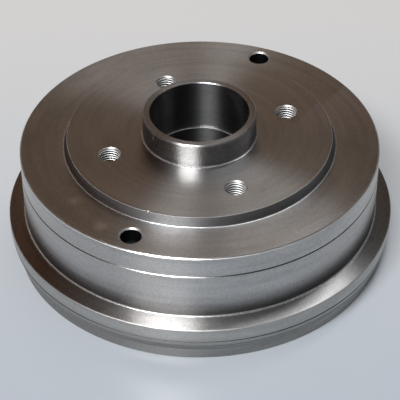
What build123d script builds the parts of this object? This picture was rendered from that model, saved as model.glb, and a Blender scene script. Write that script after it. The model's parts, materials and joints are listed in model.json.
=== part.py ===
from build123d import *
import os

# Brake drum with its hub, one turned casting.
# It stands on its open end: origin at the centre of the open end, +Z along the axle to the wheel side.
# Sizes are in millimetres and degrees.

# Heights: the lower end of the drum is built up from the open end, and the rest hangs from the wheel face
wheel_face_z = 67.0
collar_height = 13.8
step_drop = 5.0
web_thickness = 13.0
wall_groove_drop = 16.9
seat_depth = 15.4
hub_length = 39.0
lip_height = 4.0
lip_top_z = 6.0
flange_ridge_rise = 4.6
flange_line_rise = 3.4
flange_taper_rise = 3.0
flange_band_rise = 5.3
flange_cone_rise = 1.7

# Radii from the axle axis, and the widths that lead from one to the next
seat_radius = 26.0
ledge_width = 1.1
collar_wall = 4.0
hub_wall = 9.0
boss_radius = 69.9
step_run = 1.94
friction_radius = 90.125
drum_wall = 4.875
flange_width = 8.6
flange_line_inset = 0.4
flange_ridge_inset = 1.0
lip_inset = 3.6
lip_wall = 3.6

# Small breaks, grooves and rounds
bore_chamfer = 0.4
collar_chamfer = 0.65
rim_chamfer = 0.68
flange_chamfer = 0.35
lip_chamfer = 0.5
friction_chamfer = 1.0
hub_chamfer = 1.0
wall_groove_width = 0.9
wall_groove_depth = 0.45
flange_line_width = 0.5
flange_line_depth = 0.25
collar_foot_round = 0.6
wall_foot_round = 0.8
web_round = 4.0
hub_foot_round = 3.0

# Threaded wheel bolt holes, M12 x 1.5, drilled at the tap drill size
bolt_count = 4
bolt_circle_radius = 50.0
bolt_hole_radius = 5.25
bolt_mouth_depth = 0.75

# Plain holes just inside the friction radius, midway between the bolt holes
plain_count = 2
plain_hole_radius = 5.4
plain_hole_gap = 0.425
plain_mouth_depth = 0.8

# Heights and radii that follow from the sizes above
top_z = wheel_face_z + collar_height
rim_face_z = wheel_face_z - step_drop
web_under_z = wheel_face_z - web_thickness
wall_groove_z = wheel_face_z - wall_groove_drop
ledge_z = wheel_face_z - seat_depth
hub_end_z = wheel_face_z - hub_length
flange_ridge_z = lip_top_z + flange_ridge_rise
flange_line_z = flange_ridge_z + flange_line_rise
flange_taper_z = flange_line_z + flange_taper_rise
flange_edge_z = flange_taper_z + flange_band_rise
flange_root_z = flange_edge_z + flange_cone_rise
small_bore_radius = seat_radius - ledge_width
spigot_radius = seat_radius + collar_wall
hub_radius = seat_radius + hub_wall
step_foot_radius = boss_radius + step_run
wall_radius = friction_radius + drum_wall
flange_radius = wall_radius + flange_width
flange_line_radius = flange_radius - flange_line_inset
flange_ridge_radius = flange_radius - flange_ridge_inset
lip_radius = flange_radius - lip_inset
lip_inner_radius = lip_radius - lip_wall
plain_circle_radius = friction_radius - plain_hole_radius - plain_hole_gap
plain_start_angle = 180 / bolt_count
half_groove = wall_groove_width / 2
half_line = flange_line_width / 2

profile = [
    (seat_radius + bore_chamfer, top_z),
    (spigot_radius - collar_chamfer, top_z),
    (spigot_radius, top_z - collar_chamfer),
    (spigot_radius, wheel_face_z),
    (boss_radius, wheel_face_z),
    (step_foot_radius, rim_face_z),
    (wall_radius - rim_chamfer, rim_face_z),
    (wall_radius, rim_face_z - rim_chamfer),
    (wall_radius, wall_groove_z + half_groove),
    (wall_radius - wall_groove_depth, wall_groove_z),
    (wall_radius, wall_groove_z - half_groove),
    (wall_radius, flange_root_z),
    (flange_radius - flange_chamfer, flange_edge_z),
    (flange_radius, flange_edge_z - flange_chamfer),
    (flange_radius, flange_taper_z),
    (flange_line_radius, flange_line_z + half_line),
    (flange_line_radius - flange_line_depth, flange_line_z),
    (flange_line_radius, flange_line_z - half_line),
    (flange_ridge_radius, flange_ridge_z),
    (lip_radius, lip_top_z),
    (lip_radius, lip_chamfer),
    (lip_radius - lip_chamfer, 0),
    (lip_inner_radius, 0),
    (lip_inner_radius, lip_height),
    (friction_radius + friction_chamfer, lip_height),
    (friction_radius, lip_height + friction_chamfer),
    (friction_radius, web_under_z),
    (hub_radius, web_under_z),
    (hub_radius, hub_end_z + hub_chamfer),
    (hub_radius - hub_chamfer, hub_end_z),
    (small_bore_radius + hub_chamfer, hub_end_z),
    (small_bore_radius, hub_end_z + hub_chamfer),
    (small_bore_radius, ledge_z),
    (seat_radius, ledge_z),
    (seat_radius, top_z - bore_chamfer),
]


def ring_edge(part, radius, height):
    """Picks the turned edge that lies on one radius at one height."""
    circles = part.edges().filter_by(GeomType.CIRCLE)
    near = [
        edge
        for edge in circles
        if abs(edge.radius - radius) < 0.01 and abs(edge.arc_center.Z - height) < 0.01
    ]
    return near


with BuildPart() as brake_drum:
    with BuildSketch(Plane.XZ) as half_section:
        with BuildLine():
            Polyline(*profile, close=True)
        make_face()
    revolve(axis=Axis.Z)
    fillet(ring_edge(brake_drum.part, spigot_radius, wheel_face_z), radius=collar_foot_round)
    fillet(ring_edge(brake_drum.part, wall_radius, flange_root_z), radius=wall_foot_round)
    fillet(ring_edge(brake_drum.part, friction_radius, web_under_z), radius=web_round)
    fillet(ring_edge(brake_drum.part, hub_radius, web_under_z), radius=hub_foot_round)

    # Threaded wheel bolt holes with a countersunk mouth
    with Locations((0, 0, wheel_face_z)):
        with PolarLocations(bolt_circle_radius, bolt_count):
            CounterSinkHole(
                radius=bolt_hole_radius,
                counter_sink_radius=bolt_hole_radius + bolt_mouth_depth,
                depth=web_thickness,
                counter_sink_angle=90,
            )

    # Plain holes near the drum wall
    with Locations((0, 0, rim_face_z)):
        with PolarLocations(plain_circle_radius, plain_count, start_angle=plain_start_angle):
            CounterSinkHole(
                radius=plain_hole_radius,
                counter_sink_radius=plain_hole_radius + plain_mouth_depth,
                depth=rim_face_z - web_under_z + web_round,
                counter_sink_angle=90,
            )

brake_drum.part.label = "brake_drum"
os.makedirs("parts", exist_ok=True)
export_step(brake_drum.part, "parts/brake_drum.step")
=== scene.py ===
"""Dresses the turned brake drum: a fine lathe mesh with real threads, bare iron, and a studio."""

import json
import logging
import math
from dataclasses import dataclass, field
from enum import Enum

import bmesh
import bpy
from mathutils import Matrix, Vector


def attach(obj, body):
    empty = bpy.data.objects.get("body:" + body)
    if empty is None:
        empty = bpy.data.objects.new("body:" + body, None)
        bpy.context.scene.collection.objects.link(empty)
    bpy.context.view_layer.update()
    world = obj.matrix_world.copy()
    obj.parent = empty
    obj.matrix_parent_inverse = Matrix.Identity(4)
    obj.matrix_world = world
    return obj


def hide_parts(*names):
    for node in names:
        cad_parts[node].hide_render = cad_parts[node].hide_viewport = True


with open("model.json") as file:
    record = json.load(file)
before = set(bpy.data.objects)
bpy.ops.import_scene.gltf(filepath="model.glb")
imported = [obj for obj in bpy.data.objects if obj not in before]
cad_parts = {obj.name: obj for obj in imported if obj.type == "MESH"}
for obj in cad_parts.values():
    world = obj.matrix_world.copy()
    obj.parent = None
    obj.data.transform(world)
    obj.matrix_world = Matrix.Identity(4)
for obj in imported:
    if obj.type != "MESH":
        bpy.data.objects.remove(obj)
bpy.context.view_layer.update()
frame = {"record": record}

MM = 0.001
NODE = "brake_drum"
log = logging.getLogger("brake_drum")

Colour = tuple[float, float, float]
Span = tuple[float, float]


class Finish(Enum):
    """Which surface treatment a stretch of the drum has. The value is its slot on the mesh. EDGE,
    FOOT and FLANK are pale for painted highlights; LINE, THREAD, BORE and SPIGOT are dark for
    painted shade.
    """

    FACED = 0
    GROUND = 1
    FLANGE = 2
    BORE = 3
    INSIDE = 4
    THREAD = 5
    EDGE = 6
    SPIGOT = 7
    BAND = 8
    MOUTH = 9
    LINE = 10
    STEP = 11
    FLANK = 12
    FOOT = 13


@dataclass(frozen=True)
class Station:
    """One corner of the turned section, in millimetres.

    Args:
        radius: Distance from the axle axis.
        height: Height above the open end.
        finish: Treatment of the stretch that runs from this corner to the next one.
        round_off: Radius of the corner's rounding, or 0 for a sharp corner.
    """

    radius: float
    height: float
    finish: Finish
    round_off: float = 0.0

    def point(self) -> Vector:
        """Gives the corner as a point of the section's plane."""
        return Vector((self.radius, self.height, 0))


@dataclass(frozen=True)
class HoleRing:
    """Equal holes on a circle around the axle axis, in millimetres and degrees.

    Args:
        circle: Radius of the circle.
        count: Number of holes.
        start: Angle of the first hole.
        radius: Radius of each hole.
        mouth: Width and depth of its countersunk mouth.
        surface_z: Height of the face that the holes open in.
    """

    circle: float
    count: int
    start: float
    radius: float
    mouth: float
    surface_z: float

    def centres(self) -> list[Vector]:
        """Gives the centre of each hole."""
        centres = []
        for index in range(self.count):
            angle = math.radians(self.start) + math.tau * index / self.count
            across, along = self.circle * math.cos(angle), self.circle * math.sin(angle)
            centres.append(Vector((across, along, 0)))
        return centres


def mount(name: str) -> dict:
    """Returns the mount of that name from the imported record."""
    return next(entry for entry in frame["record"]["mounts"] if entry["name"] == name)


def mount_size(name: str, key: str) -> float:
    """Returns one dimension of a mount, in millimetres."""
    return float(mount(name)["dims"][key])


def mount_height(name: str) -> float:
    """Returns a mount's height above the open end, in millimetres."""
    return mount(name)["pos_m"][2] / MM


def mount_ring(name: str, start: float, mouth: float, surface_z: float) -> HoleRing:
    """Reads a ring of holes from a bolt pattern mount.

    Args:
        name: The mount's name.
        start: Angle of the first hole in degrees.
        mouth: Width and depth of the countersunk mouths in millimetres.
        surface_z: Height of the face that the holes open in, in millimetres.

    Returns:
        The ring.
    """
    circle = mount_size(name, "pcd_mm") / 2
    count = int(mount_size(name, "count"))
    return HoleRing(circle, count, start, mount_size(name, "hole_r_mm"), mouth, surface_z)


def link(name: str, data: bpy.types.ID) -> bpy.types.Object:
    """Makes an object for a mesh, light or camera and puts it in the scene."""
    made = bpy.data.objects.new(name, data)
    bpy.context.scene.collection.objects.link(made)
    return made


def corner_arc(
    before: Vector, corner: Vector, after: Vector, radius: float, steps: int
) -> list[Vector]:
    """Rounds one corner of a section.

    Args:
        before: The corner before it.
        corner: The corner that is rounded.
        after: The corner after it.
        radius: Radius of the rounding.
        steps: Number of facets along the arc.

    Returns:
        The points of the arc, from the side of the corner before it.
    """
    into = (before - corner).normalized()
    out = (after - corner).normalized()
    half_angle = into.angle(out) / 2
    reach = radius / math.tan(half_angle)
    centre = corner + (into + out).normalized() * (radius / math.sin(half_angle))
    start = corner + into * reach - centre
    end = corner + out * reach - centre
    points = []
    for step in range(steps + 1):
        spoke = start.lerp(end, step / steps)
        points.append(centre + spoke.normalized() * radius)
    return points


@dataclass
class DrumCasting:
    """The drum and its hub, one casting that is turned all over, with its wheel bolt threads cut.

    Sizes are in millimetres and angles in degrees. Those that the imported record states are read
    from its mounts.
    """

    # Heights and lengths along the axle
    collar_height: float = 13.8
    step_drop: float = 5.0
    wall_groove_z: float = 50.1
    flange_root_z: float = 24.0
    flange_edge_z: float = 22.3
    flange_taper_z: float = 17.0
    flange_line_z: float = 14.0
    flange_ridge_z: float = 10.6
    lip_top_z: float = 6.0
    lip_height: float = 4.0
    web_thickness: float = 13.0
    hub_end_z: float = 28.0
    seat_depth: float = 15.4

    # Radii from the axle axis
    boss_radius: float = 69.9
    step_run: float = 1.94
    wall_radius: float = 95.0
    flange_radius: float = 103.6
    flange_line_radius: float = 103.2
    flange_ridge_radius: float = 102.6
    lip_radius: float = 100.0
    lip_inner_radius: float = 96.4
    hub_radius: float = 35.0

    # Chamfers, turned lines and the nick in the raised face's edge
    bore_chamfer: float = 0.4
    collar_chamfer: float = 0.65
    rim_chamfer: float = 0.68
    rim_bright_drop: float = 0.36
    flange_chamfer: float = 0.35
    lip_chamfer: float = 0.5
    inside_chamfer: float = 1.0
    wall_groove_half: float = 0.45
    flange_line_half: float = 0.35
    flange_line_depth: float = 0.3
    ridge_line_rise: float = 0.25
    ridge_line_drop: float = 0.2
    ridge_line_depth: float = 0.15
    nick_place: Span = (-47.6, -51.3)
    nick_radius: float = 1.3
    nick_rise: float = 0.5

    # Roundings
    fine_round: float = 0.08
    edge_round: float = 0.1
    boss_round: float = 0.12
    ledge_round: float = 0.15
    lip_round: float = 0.3
    taper_round: float = 0.5
    step_foot_round: float = 0.55
    collar_foot_round: float = 0.6
    wall_foot_round: float = 0.8
    hub_foot_round: float = 3.0
    web_round: float = 4.0
    smallest_foot_round: float = 0.5
    smallest_wide_round: float = 1.0

    # Holes, with the thread's depths and its shares of the pitch
    thread_pitch: float = 1.5
    thread_depth: float = 0.75
    thread_crest_share: float = 0.31
    thread_knee_depth: float = 0.32
    thread_knee_share: float = 0.50
    thread_root_shares: Span = (0.67, 0.74)
    # The thread row that gets the painted highlight; the other rows get painted shade.
    bright_row: int = 1
    bolt_start: float = 0.0
    bolt_mouth: float = 0.75
    plain_start: float = 45.0
    plain_mouth: float = 0.8
    mouth_overlap: float = 0.5
    mouth_rise: float = 2.0
    cut_below: float = 6.0
    cut_above: float = 4.0

    # Facets and shading
    segments: int = 512
    hole_segments: int = 96
    thread_segments: int = 64
    arc_steps: int = 4
    wide_arc_steps: int = 8
    sharp_angle: float = 25.0

    materials: dict[Finish, bpy.types.Material] = field(default_factory=dict)

    def __post_init__(self) -> None:
        """Reads the sizes that the mounts state."""
        self.face_z = mount_height("wheel_face")
        self.rim_z = self.face_z - self.step_drop
        self.top_z = self.face_z + self.collar_height
        self.under_z = self.face_z - self.web_thickness
        self.ledge_z = self.face_z - self.seat_depth
        self.seat_radius = mount_size("bearing_seat", "r_mm")
        self.bore_radius = mount_size("hub_bore", "r_mm")
        self.spigot_radius = mount_size("wheel_spigot", "r_mm")
        self.friction_radius = mount_size("friction_surface", "r_mm")
        self.bolts = mount_ring("wheel_bolts", self.bolt_start, self.bolt_mouth, self.face_z)
        self.plains = mount_ring("plain_holes", self.plain_start, self.plain_mouth, self.rim_z)

    def upper_stations(self) -> list[Station]:
        """Lists the section's corners from the bore rim over the flats and down the wall."""
        fine, edge = self.fine_round, self.edge_round
        top, face, rim, groove = self.top_z, self.face_z, self.rim_z, self.wall_groove_z
        spigot, boss, wall = self.spigot_radius, self.boss_radius, self.wall_radius
        collar_cut, rim_cut, half = self.collar_chamfer, self.rim_chamfer, self.wall_groove_half
        bright = self.rim_bright_drop
        return [
            Station(self.seat_radius + self.bore_chamfer, top, Finish.STEP, fine),
            Station(spigot - collar_cut, top, Finish.STEP, edge),
            Station(spigot, top - collar_cut, Finish.SPIGOT, edge),
            Station(spigot, face, Finish.FACED, self.collar_foot_round),
            Station(boss, face, Finish.STEP, self.boss_round),
            Station(boss + self.step_run, rim, Finish.FACED, self.step_foot_round),
            Station(wall - rim_cut, rim, Finish.STEP, edge),
            # This stretch of the rim's chamfer takes the pale edge finish, a painted highlight.
            Station(wall - (rim_cut - bright), rim - bright, Finish.EDGE),
            Station(wall, rim - rim_cut, Finish.GROUND, edge),
            Station(wall, groove + half, Finish.LINE, fine),
            Station(wall - half, groove, Finish.SPIGOT),
            Station(wall, groove - half, Finish.GROUND),
        ]

    def flange_stations(self) -> list[Station]:
        """Lists the section's corners from the foot of the wall to the open end."""
        edge, cut = self.edge_round, self.flange_chamfer
        line, half, depth = self.flange_line_z, self.flange_line_half, self.flange_line_depth
        flange, lined, ridge = self.flange_radius, self.flange_line_radius, self.flange_ridge_radius
        ridge_top = self.flange_ridge_z + self.ridge_line_rise
        ridge_low = self.flange_ridge_z - self.ridge_line_drop
        lip, lip_cut = self.lip_radius, self.lip_chamfer
        return [
            Station(self.wall_radius, self.flange_root_z, Finish.FLANGE, self.wall_foot_round),
            Station(flange - cut, self.flange_edge_z, Finish.MOUTH),
            Station(flange, self.flange_edge_z - cut, Finish.BAND, edge),
            Station(flange, self.flange_taper_z, Finish.BAND, self.taper_round),
            Station(lined, line + half, Finish.LINE),
            Station(lined - depth, line, Finish.LINE),
            Station(lined, line - half, Finish.BAND),
            Station(ridge, ridge_top, Finish.LINE),
            Station(ridge - self.ridge_line_depth, ridge_low, Finish.BAND),
            Station(lip, self.lip_top_z, Finish.BAND, self.lip_round),
            Station(lip, lip_cut, Finish.BAND, edge),
            Station(lip - lip_cut, 0.0, Finish.FACED, edge),
        ]

    def inner_stations(self) -> list[Station]:
        """Lists the section's corners from the open end through the inside to the bore rim."""
        cut = self.inside_chamfer
        lip, friction, hub = self.lip_inner_radius, self.friction_radius, self.hub_radius
        under, end = self.under_z, self.hub_end_z
        return [
            Station(lip, 0.0, Finish.FACED),
            Station(lip, self.lip_height, Finish.FACED),
            Station(friction + cut, self.lip_height, Finish.GROUND),
            Station(friction, self.lip_height + cut, Finish.GROUND),
            Station(friction, under, Finish.INSIDE, self.web_round),
            Station(hub, under, Finish.INSIDE, self.hub_foot_round),
            Station(hub, end + cut, Finish.FACED),
            Station(hub - cut, end, Finish.FACED),
            Station(self.bore_radius + cut, end, Finish.FACED),
            Station(self.bore_radius, end + cut, Finish.BORE),
            Station(self.bore_radius, self.ledge_z, Finish.FACED, self.ledge_round),
            Station(self.seat_radius, self.ledge_z, Finish.BORE),
            Station(self.seat_radius, self.top_z - self.bore_chamfer, Finish.STEP),
        ]

    def highlight_or_own_finish(self, station: Station) -> Finish:
        """Tells a rounding's finish: its own if wide or on the band, else the pale finish of a foot
        or an edge, which paints a highlight line.
        """
        if station.round_off > self.smallest_wide_round or station.finish is Finish.BAND:
            return station.finish
        return Finish.FOOT if station.round_off > self.smallest_foot_round else Finish.EDGE

    def section(self) -> list[tuple[float, float, Finish]]:
        """Works out the rounded section.

        Returns:
            Radius and height in metres of each ring, with the finish of the stretch after it.
        """
        stations = self.upper_stations() + self.flange_stations() + self.inner_stations()
        rings = []
        for index, station in enumerate(stations):
            corner = station.point()
            if station.round_off == 0:
                rings.append((corner.x * MM, corner.y * MM, station.finish))
                continue
            before = stations[index - 1].point()
            after = stations[(index + 1) % len(stations)].point()
            wide = station.round_off > self.smallest_wide_round
            steps = self.wide_arc_steps if wide else self.arc_steps
            arc = corner_arc(before, corner, after, station.round_off, steps)
            for point in arc[:-1]:
                rings.append((point.x * MM, point.y * MM, self.highlight_or_own_finish(station)))
            rings.append((arc[-1].x * MM, arc[-1].y * MM, station.finish))
        return rings

    def turned_body(self) -> bpy.types.Object:
        """Spins the section into a closed mesh, with a finish on each stretch."""
        rings = self.section()
        bm = bmesh.new()
        loops = []
        for radius, height, _ in rings:
            loop = []
            for step in range(self.segments):
                angle = math.tau * step / self.segments
                spot = (radius * math.cos(angle), radius * math.sin(angle), height)
                loop.append(bm.verts.new(spot))
            loops.append(loop)
        for index, (_, _, finish) in enumerate(rings):
            here = loops[index]
            there = loops[(index + 1) % len(loops)]
            for step in range(self.segments):
                turn = (step + 1) % self.segments
                quad = bm.faces.new((here[step], here[turn], there[turn], there[step]))
                quad.material_index = finish.value
        bmesh.ops.recalc_face_normals(bm, faces=bm.faces)
        mesh = bpy.data.meshes.new("drum_casting")
        bm.to_mesh(mesh)
        bm.free()
        return link("drum_casting", mesh)

    def thread_form(self) -> list[tuple[float, float]]:
        """Gives one turn of the internal thread as radius and share of the pitch, crest first."""
        crest = self.bolts.radius
        root = crest + self.thread_depth
        root_start, root_end = self.thread_root_shares
        return [
            (crest, 0.0),
            (crest, self.thread_crest_share),
            (crest + self.thread_knee_depth, self.thread_knee_share),
            (root, root_start),
            (root, root_end),
        ]

    def thread_rows(self, bm: bmesh.types.BMesh, centre: Vector) -> list[list[bmesh.types.BMVert]]:
        """Sets out the points of one right-hand helical thread.

        Args:
            bm: The mesh that takes them.
            centre: The hole's centre, in millimetres.

        Returns:
            The rows of points from the lowest up. Each climbs by one pitch on its way round.
        """
        form = self.thread_form()
        margin = 2 * self.thread_pitch
        low = self.under_z - margin
        turns = math.ceil((self.web_thickness + 2 * margin) / self.thread_pitch)
        around = self.thread_segments
        rows = []
        for number in range(turns * len(form) + 1):
            turn, place = divmod(number, len(form))
            radius, share = form[place]
            row = []
            for step in range(around):
                angle = math.tau * step / around
                height = low + self.thread_pitch * (turn + share + step / around)
                spot = centre + Vector((radius * math.cos(angle), radius * math.sin(angle), 0))
                row.append(bm.verts.new((spot.x * MM, spot.y * MM, height * MM)))
            rows.append(row)
        return rows

    def add_thread_core(self, bm: bmesh.types.BMesh, centre: Vector) -> None:
        """Adds the space inside one threaded hole, a closed rod with the thread around it.

        Args:
            bm: The mesh that takes it.
            centre: The hole's centre, in millimetres.
        """
        rows = self.thread_rows(bm, centre)
        per_turn = len(self.thread_form())
        top = len(rows) - 1
        last = self.thread_segments - 1
        for number in range(top):
            here, there = rows[number], rows[number + 1]
            quads = []
            for step in range(last):
                quads.append((here[step], here[step + 1], there[step + 1], there[step]))
            across = number + per_turn
            if across < top:
                quads.append((here[last], rows[across][0], rows[across + 1][0], there[last]))
            # One row per turn takes the painted highlight finish, the others the painted shade
            # finish.
            bright = number % per_turn == self.bright_row
            for quad in quads:
                bm.faces.new(quad).material_index = int(bright)
        low_loop = rows[0] + [rows[number][0] for number in range(per_turn, 0, -1)]
        high_loop = rows[top] + [rows[top - number][last] for number in range(1, per_turn + 1)]
        for loop in (low_loop, high_loop):
            hub = bm.verts.new(sum((vert.co for vert in loop), Vector()) / len(loop))
            for index, vert in enumerate(loop):
                bm.faces.new((vert, loop[(index + 1) % len(loop)], hub))

    def add_cone(self, bm: bmesh.types.BMesh, centre: Vector, low: Span, high: Span) -> None:
        """Adds a cone frustum or cylinder that stands upright.

        Args:
            bm: The mesh that takes it.
            centre: Its axis, in millimetres.
            low: Radius and height of its lower end.
            high: Radius and height of its upper end.
        """
        place = Matrix.Translation((centre.x * MM, centre.y * MM, (low[1] + high[1]) / 2 * MM))
        bmesh.ops.create_cone(
            bm,
            cap_ends=True,
            segments=self.hole_segments,
            radius1=low[0] * MM,
            radius2=high[0] * MM,
            depth=(high[1] - low[1]) * MM,
            matrix=place,
        )

    def hole_cutter(self) -> bpy.types.Object:
        """Makes the threaded and plain hole spaces as one cutter."""
        bm = bmesh.new()
        for centre in self.bolts.centres():
            self.add_thread_core(bm, centre)
        radius = self.plains.radius
        low = (radius, self.under_z - self.cut_below)
        high = (radius, self.plains.surface_z + self.cut_above)
        for centre in self.plains.centres():
            self.add_cone(bm, centre, low, high)
        return self.cutter("hole_cutter", bm, [Finish.THREAD, Finish.FLANK])

    def mouth_cutter(self) -> bpy.types.Object:
        """Makes the countersunk mouths and the nick in the raised face's edge as one cutter."""
        bm = bmesh.new()
        overlap, rise = self.mouth_overlap, self.mouth_rise
        for holes in (self.bolts, self.plains):
            low = (holes.radius - overlap, holes.surface_z - holes.mouth - overlap)
            high = (holes.radius + holes.mouth + rise, holes.surface_z + rise)
            for centre in holes.centres():
                self.add_cone(bm, centre, low, high)
        nick = Matrix.Translation(Vector((*self.nick_place, self.face_z + self.nick_rise)) * MM)
        bmesh.ops.create_icosphere(bm, subdivisions=3, radius=self.nick_radius * MM, matrix=nick)
        return self.cutter("mouth_cutter", bm, [Finish.MOUTH])

    def cutter(self, name: str, bm: bmesh.types.BMesh, finishes: list[Finish]) -> bpy.types.Object:
        """Turns a mesh under construction into a cutter, with the finishes of its cut faces."""
        bmesh.ops.recalc_face_normals(bm, faces=bm.faces)
        mesh = bpy.data.meshes.new(name)
        bm.to_mesh(mesh)
        bm.free()
        for finish in finishes:
            mesh.materials.append(self.materials[finish])
        return link(name, mesh)

    def cut(self, body: bpy.types.Object, cutters: list[bpy.types.Object]) -> None:
        """Cuts the holes out of the body and removes the cutters."""
        for cutter in cutters:
            hole = body.modifiers.new(cutter.name, "BOOLEAN")
            hole.operation = "DIFFERENCE"
            hole.solver = "EXACT"
            hole.material_mode = "TRANSFER"
            hole.object = cutter
        self.apply_modifiers(body)
        for cutter in cutters:
            bpy.data.objects.remove(cutter)

    def apply_modifiers(self, body: bpy.types.Object) -> None:
        """Replaces the body's mesh by what its modifiers make of it."""
        bpy.context.view_layer.update()
        graph = bpy.context.evaluated_depsgraph_get()
        made = bpy.data.meshes.new_from_object(
            body.evaluated_get(graph), preserve_all_data_layers=True, depsgraph=graph
        )
        body.modifiers.clear()
        body.data = made

    def smooth(self, body: bpy.types.Object) -> None:
        """Shades the turned surfaces smoothly, with crisp edges and true flats."""
        mesh = body.data
        mesh.polygons.foreach_set("use_smooth", [True] * len(mesh.polygons))
        mesh.set_sharp_from_angle(angle=math.radians(self.sharp_angle))
        weighted = body.modifiers.new("true_flats", "WEIGHTED_NORMAL")
        weighted.mode = "FACE_AREA"
        weighted.weight = 100
        weighted.keep_sharp = True
        self.apply_modifiers(body)

    def build(self) -> bpy.types.Object:
        """Builds the casting, attaches it to the root body and hides the imported drum.

        Returns:
            The finished piece.
        """
        body = self.turned_body()
        for finish in Finish:
            body.data.materials.append(self.materials[finish])
        self.cut(body, [self.hole_cutter(), self.mouth_cutter()])
        self.smooth(body)
        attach(body, "root")
        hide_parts(NODE)
        log.info("%s: %d faces", body.name, len(body.data.polygons))
        return body


class ShaderGraph:
    """Short calls for adding and linking nodes in one material, group or world."""

    def __init__(self, tree: bpy.types.NodeTree) -> None:
        """Starts on a node tree."""
        self.tree = tree

    def add(self, kind: str, **settings: object) -> bpy.types.Node:
        """Adds a node and sets its own settings, not its sockets."""
        node = self.tree.nodes.new(kind)
        for key, value in settings.items():
            setattr(node, key, value)
        return node

    def feed(self, source: object, target: bpy.types.NodeSocket) -> None:
        """Feeds a socket from another socket, or sets it to a plain value."""
        if isinstance(source, bpy.types.NodeSocket):
            self.tree.links.new(source, target)
        else:
            target.default_value = source

    def math(self, operation: str, first: object, second: object = 0.0) -> bpy.types.NodeSocket:
        """Adds a Math node and returns its output."""
        node = self.add("ShaderNodeMath", operation=operation)
        self.feed(first, node.inputs[0])
        self.feed(second, node.inputs[1])
        return node.outputs[0]

    def ramp(
        self, value: object, low: object, high: object, start: object = 0.0, end: object = 1.0
    ) -> bpy.types.NodeSocket:
        """Adds a smooth Map Range from low..high to start..end and returns its output."""
        node = self.add("ShaderNodeMapRange", interpolation_type="SMOOTHSTEP")
        for index, entry in enumerate((value, low, high, start, end)):
            self.feed(entry, node.inputs[index])
        return node.outputs[0]

    def blend(self, share: object, first: object, second: object) -> bpy.types.NodeSocket:
        """Adds a colour Mix node and returns its colour."""
        node = self.add("ShaderNodeMix", data_type="RGBA")
        self.feed(share, node.inputs[0])
        for source, target in ((first, node.inputs[6]), (second, node.inputs[7])):
            self.feed((*source, 1.0) if isinstance(source, tuple) else source, target)
        return node.outputs[2]

    def shade(self, colour: object, tone: bpy.types.NodeSocket) -> bpy.types.NodeSocket:
        """Multiplies a colour by a plain tone and returns the shaded colour."""
        node = self.add("ShaderNodeMix", data_type="RGBA", blend_type="MULTIPLY")
        node.inputs[0].default_value = 1.0
        self.feed(colour, node.inputs[6])
        self.feed(self.vector(tone, tone, tone), node.inputs[7])
        return node.outputs[2]

    def place(self) -> bpy.types.NodeSocket:
        """Adds the place on the object and returns its socket."""
        return self.add("ShaderNodeTexCoord").outputs["Object"]

    def split(self, vector: bpy.types.NodeSocket) -> list[bpy.types.NodeSocket]:
        """Adds a Separate XYZ node and returns its three parts."""
        node = self.add("ShaderNodeSeparateXYZ")
        self.feed(vector, node.inputs[0])
        return list(node.outputs)

    def dot(self, parts: list[bpy.types.NodeSocket], direction: Vector) -> bpy.types.NodeSocket:
        """Adds up the share of three coordinate sockets along a level direction."""
        first = self.math("MULTIPLY", parts[0], direction.x)
        second = self.math("MULTIPLY", parts[1], direction.y)
        return self.math("ADD", first, second)

    def vector(self, *parts: object) -> bpy.types.NodeSocket:
        """Adds a Combine XYZ node and returns its vector."""
        node = self.add("ShaderNodeCombineXYZ")
        for index, part in enumerate(parts):
            self.feed(part, node.inputs[index])
        return node.outputs[0]

    def noise(self, place: object, scale: object, detail: float = 2.0) -> bpy.types.NodeSocket:
        """Adds a noise texture and returns its value."""
        node = self.add("ShaderNodeTexNoise")
        self.feed(place, node.inputs["Vector"])
        self.feed(scale, node.inputs["Scale"])
        node.inputs["Detail"].default_value = detail
        return node.outputs[0]

    def bump(self, height: object, distance: float, normal: object = None) -> bpy.types.NodeSocket:
        """Adds a Bump node of a depth in metres, over another one's normal, and returns its own."""
        node = self.add("ShaderNodeBump")
        node.inputs["Distance"].default_value = distance
        self.feed(height, node.inputs["Height"])
        if normal is not None:
            self.feed(normal, node.inputs["Normal"])
        return node.outputs[0]

    def group(self, tree: bpy.types.NodeTree, *values: float) -> bpy.types.NodeOutputs:
        """Places an effect group with values for its inputs in order, and returns its outputs."""
        node = self.add("ShaderNodeGroup", node_tree=tree)
        for socket, value in zip(node.inputs, values):
            socket.default_value = value
        return node.outputs


class EffectGroup:
    """A shader node group under construction, with named float inputs and outputs."""

    def __init__(self, name: str, inputs: dict[str, float], outputs: tuple[str, ...]) -> None:
        """Starts a group.

        Args:
            name: The group's name.
            inputs: Each input's name and default.
            outputs: Each output's name.
        """
        self.tree = bpy.data.node_groups.new(name, "ShaderNodeTree")
        new_socket = self.tree.interface.new_socket
        for label, value in inputs.items():
            socket = new_socket(label, in_out="INPUT", socket_type="NodeSocketFloat")
            socket.default_value = value
        for label in outputs:
            new_socket(label, in_out="OUTPUT", socket_type="NodeSocketFloat")
        self.graph = ShaderGraph(self.tree)
        self.given = self.graph.add("NodeGroupInput").outputs
        self.result = self.graph.add("NodeGroupOutput").inputs


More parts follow.
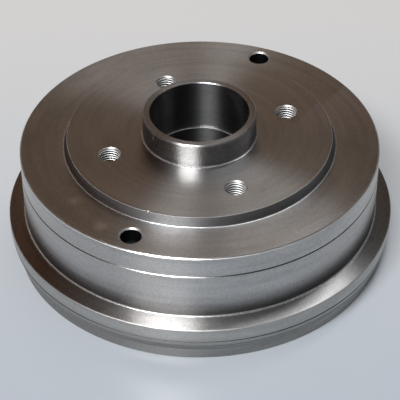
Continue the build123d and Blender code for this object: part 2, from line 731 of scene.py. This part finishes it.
def turning_marks_group() -> bpy.types.NodeTree:
    """Makes the fine concentric marks that a lathe tool leaves, as a height and a broad shade."""
    effect = EffectGroup("turning_marks", {"Pitch": 0.0004}, ("Height", "Shade"))
    graph = effect.graph
    skew, drift_scale, broad_scale = 0.7, 30.0, 300.0
    x, y, z = graph.split(graph.place())
    squares = graph.math("ADD", graph.math("MULTIPLY", x, x), graph.math("MULTIPLY", y, y))
    radius = graph.math("SQRT", squares)
    slant = graph.math("ADD", x, graph.math("MULTIPLY", y, skew))
    drift = graph.math("MULTIPLY", slant, drift_scale)
    along = graph.math("DIVIDE", radius, effect.given["Pitch"])
    up = graph.math("DIVIDE", z, effect.given["Pitch"])
    broad_along = graph.math("MULTIPLY", radius, broad_scale)
    broad_up = graph.math("MULTIPLY", z, broad_scale)
    fine = graph.noise(graph.vector(along, up, drift), 1.0, 3.0)
    broad = graph.noise(graph.vector(broad_along, broad_up, drift), 1.0)
    graph.feed(fine, effect.result["Height"])
    graph.feed(broad, effect.result["Shade"])
    return effect.tree


def iron_grain_group() -> bpy.types.NodeTree:
    """Makes the fine grain, the sparse dark pores and the soft mottling of cast iron."""
    outputs = ("Grain", "Pores", "Mottle")
    effect = EffectGroup("iron_grain", {"Fineness": 2500.0}, outputs)
    graph = effect.graph
    pore_scale, mottle_scale = 420.0, 850.0
    place = graph.place()
    grain = graph.noise(place, effect.given["Fineness"])
    cells = graph.add("ShaderNodeTexVoronoi", feature="F1")
    graph.feed(place, cells.inputs["Vector"])
    cells.inputs["Scale"].default_value = pore_scale
    pores = graph.ramp(cells.outputs["Distance"], 0.05, 0.16, 1.0, 0.0)
    mottle = graph.ramp(graph.noise(place, mottle_scale, 3.0), 0.34, 0.66, 0.93, 1.06)
    for label, socket in zip(outputs, (grain, pores, mottle)):
        graph.feed(socket, effect.result[label])
    return effect.tree


def painted_corner_shade_group() -> bpy.types.NodeTree:
    """Makes painted shade low on an upright face: a tone to multiply by, darker towards the face's
    foot.
    """
    inputs = {"Low": 0.0, "High": 0.01, "Tone": 1.0}
    effect = EffectGroup("painted_corner_shade", inputs, ("Shade",))
    graph = effect.graph
    low, high, tone = (effect.given[label] for label in inputs)
    shade = graph.ramp(graph.split(graph.place())[2], low, high, tone, 1.0)
    graph.feed(shade, effect.result["Shade"])
    return effect.tree


def reflection_strip_and_rubs_group() -> bpy.types.NodeTree:
    """Makes a painted reflection, a lighter strip with one crisp edge, and two small rub marks."""
    effect = EffectGroup("reflection_strip_and_rubs", {"Width": 0.035, "Rub": 0.0052}, ("Strip", "Rubs"))
    graph = effect.graph
    # The strip is painted reflection: it lightens the colour up to one crisp edge.
    strip_runs, strip_faces = Vector((0.8425, 0.5388, 0)), Vector((0.5388, -0.8425, 0))
    edge_place, edge_blur = 0.036, 0.0008
    rub_places = ((-0.0762, -0.0234, 0.062), (-0.0715, -0.0477, 0.062))
    place = graph.place()
    parts = graph.split(place)
    beyond = graph.math("SUBTRACT", graph.dot(parts, strip_faces), edge_place)
    crisp = graph.ramp(beyond, -edge_blur, edge_blur)
    fading = graph.ramp(beyond, 0.0, effect.given["Width"], 1.0, 0.0)
    reached = graph.ramp(graph.dot(parts, strip_runs), 0.008, 0.055)
    strip = graph.math("MULTIPLY", graph.math("MULTIPLY", crisp, fading), reached)
    rubs = 0.0
    for spot in rub_places:
        gap = graph.add("ShaderNodeVectorMath", operation="DISTANCE")
        graph.feed(place, gap.inputs[0])
        gap.inputs[1].default_value = spot
        near = graph.ramp(gap.outputs["Value"], 0.0, effect.given["Rub"], 1.0, 0.0)
        rubs = graph.math("ADD", rubs, near)
    streaky = graph.ramp(graph.noise(place, 900.0), 0.35, 0.65, 0.5, 1.0)
    graph.feed(strip, effect.result["Strip"])
    graph.feed(graph.math("MULTIPLY", rubs, streaky), effect.result["Rubs"])
    return effect.tree


def oil_film_group() -> bpy.types.NodeTree:
    """Makes the patchy film of oil and the dull smudges that handling leaves."""
    effect = EffectGroup("oil_film", {"Cover": 0.5}, ("Film", "Smudge"))
    graph = effect.graph
    film_scale, smudge_scale = 22.0, 70.0
    place = graph.place()
    wide = graph.noise(place, film_scale, 3.0)
    shift = graph.math("SUBTRACT", effect.given["Cover"], 0.5)
    film = graph.ramp(graph.math("ADD", wide, shift), 0.35, 0.75)
    smudge = graph.ramp(graph.noise(place, smudge_scale, 4.0), 0.58, 0.74)
    graph.feed(film, effect.result["Film"])
    graph.feed(smudge, effect.result["Smudge"])
    return effect.tree


@dataclass(frozen=True)
class EffectGroups:
    """The effects that the finishes share.

    Args:
        marks: Turning marks.
        grain: Grain, pores and mottling.
        film: Oil film and smudges.
        painted_shade: Painted shade, darker towards the foot of an upright face.
        reflection_strip_and_rubs: The painted reflection strip and the rub marks.
    """

    marks: bpy.types.NodeTree
    grain: bpy.types.NodeTree
    film: bpy.types.NodeTree
    painted_shade: bpy.types.NodeTree
    reflection_strip_and_rubs: bpy.types.NodeTree


@dataclass(frozen=True)
class IronFinish:
    """One treatment of the bare iron.

    Args:
        name: The material's name.
        colour: Clean metal colour.
        film_colour: Colour where the oil film lies.
        roughness: Lowest and highest roughness.
        stretch: How far reflections spread across the turning marks, from 0 to 1.
        pitch: Distance between turning marks, in metres.
        mark_height: Depth of the turning marks in the bump, in metres.
        grain_height: Depth of the grain in the bump, in metres.
        cover: Share of the surface under the oil film.
        pores: How dark the pores are, from 0 to 1.
        metallic: How metallic the surface looks, from 0 to 1.
        painted_shade: Lowest and highest height of the painted shade in metres, and its tone at the
            lowest.
        reflection_and_rubs_share: How clearly the painted reflection strip and the rub marks show,
            from 0 to 1.
        reflection_lift: How much lighter and bluer the painted reflection strip is.
        rubbed: Colour of the rub marks.
        dullness: Tone of pores and smudges, as a share of the oil film's colour.
        smudging: How clearly the smudges show, from 0 to 1.
        ring_tones: Darkest and lightest tone of the broad turning rings.
    """

    name: str
    colour: Colour
    film_colour: Colour
    roughness: Span
    stretch: float
    pitch: float = 0.0004
    mark_height: float = 0.000004
    grain_height: float = 0.000004
    cover: float = 0.5
    pores: float = 0.3
    metallic: float = 1.0
    painted_shade: tuple[float, float, float] = (0.0, 0.01, 1.0)
    reflection_and_rubs_share: float = 0.0
    reflection_lift: Colour = (0.08, 0.09, 0.16)
    rubbed: Colour = (0.90, 0.93, 0.96)
    dullness: float = 0.72
    smudging: float = 0.25
    ring_tones: Span = (0.9, 1.06)

    def reflection_and_rubs_colour(
        self, graph: ShaderGraph, clean: bpy.types.NodeSocket, group: bpy.types.NodeTree
    ) -> bpy.types.NodeSocket:
        """Lays the painted reflection strip and the rub marks over a colour.

        Args:
            graph: The material's graph.
            clean: The colour without them.
            group: The group of the painted reflection strip and the rub marks.

        Returns:
            The colour with them.
        """
        marked = graph.group(group)
        reflected_colour = tuple(part + lift for part, lift in zip(self.colour, self.reflection_lift))
        toned = graph.blend(graph.math("MULTIPLY", marked["Strip"], self.reflection_and_rubs_share), clean, reflected_colour)
        return graph.blend(graph.math("MULTIPLY", marked["Rubs"], self.reflection_and_rubs_share), toned, self.rubbed)

    def surface_colour(
        self,
        graph: ShaderGraph,
        groups: EffectGroups,
        marks: bpy.types.NodeOutputs,
        grain: bpy.types.NodeOutputs,
    ) -> bpy.types.NodeSocket:
        """Mixes the metal's colour with its film, any painted reflection strip and rub marks,
        smudges, rings, painted shade, mottling and pores.

        Args:
            graph: The material's graph.
            groups: The shared effect groups.
            marks: The material's turning marks.
            grain: The material's grain.

        Returns:
            The colour.
        """
        film = graph.group(groups.film, self.cover)
        toned = graph.blend(film["Film"], self.colour, self.film_colour)
        # Painted reflection: a lighter strip, laid together with the rub marks.
        if self.reflection_and_rubs_share > 0:
            toned = self.reflection_and_rubs_colour(graph, toned, groups.reflection_strip_and_rubs)
        dull = tuple(self.dullness * part for part in self.film_colour)
        smudge = graph.math("MULTIPLY", film["Smudge"], self.smudging)
        smudged = graph.blend(smudge, toned, dull)
        rings = graph.ramp(marks["Shade"], 0.25, 0.75, *self.ring_tones)
        # Painted shade: darker towards the foot of an upright face.
        painted_shade = graph.group(groups.painted_shade, *self.painted_shade)
        tone = graph.math("MULTIPLY", rings, painted_shade["Shade"])
        shaded = graph.shade(smudged, graph.math("MULTIPLY", tone, grain["Mottle"]))
        return graph.blend(graph.math("MULTIPLY", grain["Pores"], self.pores), shaded, dull)

    def material(self, groups: EffectGroups) -> bpy.types.Material:
        """Makes the material.

        Args:
            groups: The shared effect groups.

        Returns:
            The finished material.
        """
        made = bpy.data.materials.new(self.name)
        made.use_nodes = True
        graph = ShaderGraph(made.node_tree)
        shader = made.node_tree.nodes["Principled BSDF"]
        marks = graph.group(groups.marks, self.pitch)
        grain = graph.group(groups.grain)
        colour = self.surface_colour(graph, groups, marks, grain)
        graph.feed(colour, shader.inputs["Base Color"])
        roughness = graph.ramp(grain["Grain"], 0.3, 0.7, *self.roughness)
        graph.feed(roughness, shader.inputs["Roughness"])
        shader.inputs["Metallic"].default_value = self.metallic
        shader.inputs["Anisotropic"].default_value = self.stretch
        tangent = graph.add("ShaderNodeTangent", direction_type="RADIAL", axis="Z")
        graph.feed(tangent.outputs[0], shader.inputs["Tangent"])
        shader.inputs["Anisotropic Rotation"].default_value = 0.25
        grained = graph.bump(grain["Grain"], self.grain_height)
        turned = graph.bump(marks["Height"], self.mark_height, grained)
        graph.feed(turned, shader.inputs["Normal"])
        return made


FINISHES: dict[Finish, IronFinish] = {
    # Painted reflection: the faced iron carries the lighter strip.
    Finish.FACED: IronFinish(
        "faced_iron", (0.53, 0.53, 0.535), (0.475, 0.47, 0.465), (0.295, 0.335), 0.88,
        reflection_and_rubs_share=0.8,
    ),
    # Painted shade: the wall is darker towards its foot.
    Finish.GROUND: IronFinish(
        "ground_iron", (0.51, 0.50, 0.49), (0.48, 0.465, 0.45), (0.27, 0.33), 0.55,
        pitch=0.0003, mark_height=0.000003, grain_height=0.000008, painted_shade=(0.025, 0.040, 0.45),
    ),
    # Painted shade: a darker copy of the iron for the collar's outer wall and the wall groove's
    # lower side.
    Finish.SPIGOT: IronFinish(
        "spigot_painted_shade_iron", (0.30, 0.295, 0.29), (0.265, 0.255, 0.245), (0.26, 0.31), 0.3,
    ),
    Finish.STEP: IronFinish(
        "stepped_iron", (0.43, 0.435, 0.45), (0.38, 0.38, 0.385), (0.31, 0.36), 0.74,
        pores=0.5,
    ),
    Finish.FLANGE: IronFinish(
        "turned_iron", (0.58, 0.58, 0.585), (0.53, 0.525, 0.525), (0.27, 0.33), 0.78,
        grain_height=0.00001, pores=0.45,
    ),
    # Painted shade: the band is darker towards the open end.
    Finish.BAND: IronFinish(
        "flange_band_iron", (0.47, 0.465, 0.45), (0.42, 0.41, 0.39), (0.32, 0.42), 0.5,
        pitch=0.0003, grain_height=0.00002, pores=0.5, painted_shade=(0.010, 0.0165, 0.66),
    ),
    # Painted shade: a dark copy of the iron in the turned grooves and lines.
    Finish.LINE: IronFinish(
        "groove_painted_shade_iron", (0.12, 0.115, 0.11), (0.09, 0.085, 0.08), (0.45, 0.55), 0.0,
    ),
    # Painted shade: a dark copy of the iron for the bore's walls.
    Finish.BORE: IronFinish(
        "bore_painted_shade_iron", (0.22, 0.225, 0.23), (0.20, 0.20, 0.20), (0.34, 0.39), 0.92,
    ),
    Finish.INSIDE: IronFinish(
        "cast_iron_skin", (0.30, 0.29, 0.28), (0.24, 0.22, 0.20), (0.5, 0.65), 0.0,
        mark_height=0.000001, grain_height=0.00006, pores=0.6,
    ),
    # Painted shade: a near-black copy of the iron for the thread's crests, flanks and roots.
    Finish.THREAD: IronFinish(
        "thread_painted_shade_iron", (0.06, 0.06, 0.06), (0.04, 0.04, 0.04), (0.42, 0.50), 0.0,
    ),
    # Painted highlight: a pale copy of the iron for the bevel of each thread turn.
    Finish.FLANK: IronFinish(
        "flank_painted_highlight_iron", (0.95, 0.95, 0.95), (0.88, 0.88, 0.88), (0.50, 0.56), 0.0,
        metallic=0.75,
    ),
    Finish.MOUTH: IronFinish(
        "countersunk_iron", (0.50, 0.49, 0.48), (0.45, 0.44, 0.43), (0.42, 0.50), 0.0,
        metallic=0.75,
    ),
    # Painted highlight: a pale, partly diffuse iron gives thin bright lines on edges and small
    # roundings.
    Finish.EDGE: IronFinish(
        "edge_painted_highlight_iron", (0.72, 0.72, 0.71), (0.66, 0.65, 0.64), (0.36, 0.42), 0.0,
        metallic=0.55,
    ),
    # Painted highlight: a near-white iron gives the bright line along the feet of the collar, the
    # step and the wall.
    Finish.FOOT: IronFinish(
        "foot_painted_highlight_iron", (0.93, 0.95, 0.97), (0.89, 0.90, 0.91), (0.24, 0.30), 0.3,
        metallic=0.93,
    ),
}


@dataclass(frozen=True)
class Lamp:
    """One rectangular soft lamp that faces the drum.

    Args:
        name: The lamp's name.
        turn: Its direction from straight behind the drum, in degrees.
        rise: Its angle above the floor, in degrees.
        size: Its width and height, in metres.
        watts: Its power.
        distance: Its distance from the drum, in metres.
    """

    name: str
    turn: float
    rise: float
    size: Span
    watts: float
    distance: float


@dataclass
class Studio:
    """Floor, surroundings, lamps and camera. Distances are in metres and angles in degrees.

    Directions are given as the camera's operator sees them: 0 is straight behind the drum,
    positive to the right. The room's spans are shares of a direction's length, and the
    backdrop's are radians.
    """

    camera_place: tuple[float, float, float] = (-0.2308, -0.5977, 0.54605)
    view_turn: float = 21.11
    view_drop: float = 39.3
    view_roll: float = -0.49
    lens: float = 136.44
    lens_shift: float = -0.0025

    floor_reach: float = 8.0
    floor_depth: Span = (-0.2, 0.3)
    floor_near: Colour = (0.50, 0.55, 0.61)
    floor_far: Colour = (0.81, 0.81, 0.815)
    floor_fade: Span = (0.6, 1.3)
    floor_outskirts: Colour = (0.10, 0.09, 0.085)
    floor_roughness: float = 0.30
    floor_shine: float = 0.9
    glow_share: float = 0.42
    glow_edge: Span = (0.098, 0.106)
    glow_near: Colour = (0.49, 0.55, 0.615)
    glow_far: Colour = (0.73, 0.72, 0.71)
    glow_outskirts: Colour = (0.06, 0.05, 0.045)

    room_across: Span = (-0.4, 0.4)
    room_left: Colour = (0.052, 0.022, 0.009)
    room_right: Colour = (0.030, 0.028, 0.027)
    backdrop_turn: Span = (0.16, 0.34)
    backdrop: Colour = (0.23, 0.170, 0.127)
    zenith_across: Span = (-0.25, 0.25)
    zenith_rise: Span = (0.80, 0.95)
    zenith_left: Colour = (0.06, 0.045, 0.035)
    zenith_right: Colour = (0.10, 0.10, 0.10)

    lamps: tuple[Lamp, ...] = (
        Lamp("key_lamp", turn=205.0, rise=50.0, size=(1.02, 0.52), watts=55.0, distance=2.4),
        Lamp("high_lamp", turn=70.0, rise=71.0, size=(1.1, 1.9), watts=1.3, distance=2.2),
        Lamp("side_lamp", turn=43.0, rise=66.5, size=(0.36, 1.1), watts=6.0, distance=2.2),
    )

    def heading(self, turn: float, rise: float) -> Vector:
        """Gives the direction at a turn from straight behind the drum and a rise."""
        side = math.radians(self.view_turn + turn)
        lift = math.radians(rise)
        level = math.cos(lift)
        return Vector((math.sin(side) * level, math.cos(side) * level, math.sin(lift)))

    def camera(self) -> None:
        """Sets up the camera at the photograph's place and lens."""
        lens = bpy.data.cameras.new("camera")
        lens.lens = self.lens
        lens.sensor_width = 36.0
        lens.shift_y = self.lens_shift
        lens.clip_end = 30.0
        taker = link("camera", lens)
        forward = self.heading(0.0, -self.view_drop)
        right = forward.cross(Vector((0, 0, 1))).normalized()
        up = right.cross(forward)
        roll = math.radians(self.view_roll)
        level, lean = math.cos(roll), math.sin(roll)
        right, up = right * level + up * lean, up * level - right * lean
        pose = Matrix((right, up, -forward)).transposed().to_4x4()
        taker.matrix_world = Matrix.Translation(self.camera_place) @ pose
        bpy.context.scene.camera = taker

    def floor(self) -> None:
        """Lays a wide pale floor that fades far out. Painted light makes it lighter away from the
        camera and darker and cooler towards it.
        """
        half = self.floor_reach / 2
        corners = [(-half, -half, 0), (half, -half, 0), (half, half, 0), (-half, half, 0)]
        mesh = bpy.data.meshes.new("floor")
        mesh.from_pydata(corners, [], [(0, 1, 2, 3)])
        ground = link("floor", mesh)
        mesh.materials.append(self.floor_material())

    def floor_material(self) -> bpy.types.Material:
        """Makes the floor's material.

        Part of its pale tone is a glow that only seen, mirrored and transmitted rays meet, so
        that it adds no light to the drum. There is none under the drum.

        Returns:
            The material.
        """
        made = bpy.data.materials.new("pale_floor")
        made.use_nodes = True
        graph = ShaderGraph(made.node_tree)
        place = graph.place()
        depth = graph.dot(graph.split(place), self.heading(0.0, 0.0))
        length = graph.add("ShaderNodeVectorMath", operation="LENGTH")
        graph.feed(place, length.inputs[0])
        reach = length.outputs["Value"]
        nearness = graph.ramp(depth, *self.floor_depth)
        fade = graph.ramp(reach, *self.floor_fade)

        shader = made.node_tree.nodes["Principled BSDF"]
        # Painted light: lighter away from the camera, darker and bluer near it.
        tone = graph.blend(nearness, self.floor_near, self.floor_far)
        graph.feed(graph.blend(fade, tone, self.floor_outskirts), shader.inputs["Base Color"])
        shader.inputs["Roughness"].default_value = self.floor_roughness
        shader.inputs["Specular IOR Level"].default_value = self.floor_shine

        glow = graph.add("ShaderNodeEmission")
        shone = graph.blend(nearness, self.glow_near, self.glow_far)
        graph.feed(graph.blend(fade, shone, self.glow_outskirts), glow.inputs["Color"])

        path = graph.add("ShaderNodeLightPath").outputs
        mirrored = graph.math("MAXIMUM", path["Is Glossy Ray"], path["Is Transmission Ray"])
        seen = graph.math("MAXIMUM", path["Is Camera Ray"], mirrored)
        outside = graph.ramp(reach, *self.glow_edge, 0.0, self.glow_share)
        mixed = graph.add("ShaderNodeMixShader")
        graph.feed(graph.math("MULTIPLY", seen, outside), mixed.inputs[0])
        graph.feed(shader.outputs[0], mixed.inputs[1])
        graph.feed(glow.outputs[0], mixed.inputs[2])
        graph.feed(mixed.outputs[0], made.node_tree.nodes["Material Output"].inputs["Surface"])
        return made

    def world(self) -> None:
        """Gives the surroundings: dark and warm, lighter straight behind the drum and overhead."""
        world = bpy.data.worlds.new("room")
        world.use_nodes = True
        bpy.context.scene.world = world
        graph = ShaderGraph(world.node_tree)
        parts = graph.split(graph.add("ShaderNodeTexCoord").outputs["Generated"])
        across = graph.dot(parts, self.heading(90.0, 0.0))
        along = graph.dot(parts, self.heading(0.0, 0.0))
        turn = graph.math("ABSOLUTE", graph.math("ARCTAN2", across, along))
        dark = graph.blend(graph.ramp(across, *self.room_across), self.room_left, self.room_right)
        behind = graph.ramp(turn, *self.backdrop_turn, 1.0, 0.0)
        room = graph.blend(behind, dark, self.backdrop)
        side = graph.ramp(across, *self.zenith_across)
        zenith = graph.blend(side, self.zenith_left, self.zenith_right)
        tone = graph.blend(graph.ramp(parts[2], *self.zenith_rise), room, zenith)
        back = world.node_tree.nodes["Background"]
        graph.feed(tone, back.inputs["Color"])
        back.inputs["Strength"].default_value = 1.0

    def hang(self, lamp: Lamp) -> None:
        """Hangs one lamp."""
        light = bpy.data.lights.new(lamp.name, "AREA")
        light.shape = "RECTANGLE"
        light.size, light.size_y = lamp.size
        light.energy = lamp.watts
        hung = link(lamp.name, light)
        away = self.heading(lamp.turn, lamp.rise)
        hung.location = away * lamp.distance
        hung.rotation_euler = away.to_track_quat("Z", "Y").to_euler()

    def build(self) -> None:
        """Sets up the whole studio."""
        self.camera()
        self.floor()
        self.world()
        for lamp in self.lamps:
            self.hang(lamp)
        log.info("studio ready, %d lamps", len(self.lamps))


def main() -> None:
    """Builds the studio and the dressed drum."""
    logging.basicConfig(level=logging.INFO)
    scene = bpy.context.scene
    scene.view_settings.view_transform = "Standard"
    Studio().build()
    groups = EffectGroups(
        marks=turning_marks_group(),
        grain=iron_grain_group(),
        film=oil_film_group(),
        painted_shade=painted_corner_shade_group(),
        reflection_strip_and_rubs=reflection_strip_and_rubs_group(),
    )
    materials = {finish: look.material(groups) for finish, look in FINISHES.items()}
    DrumCasting(materials=materials).build()


if __name__ == "__main__":
    main()
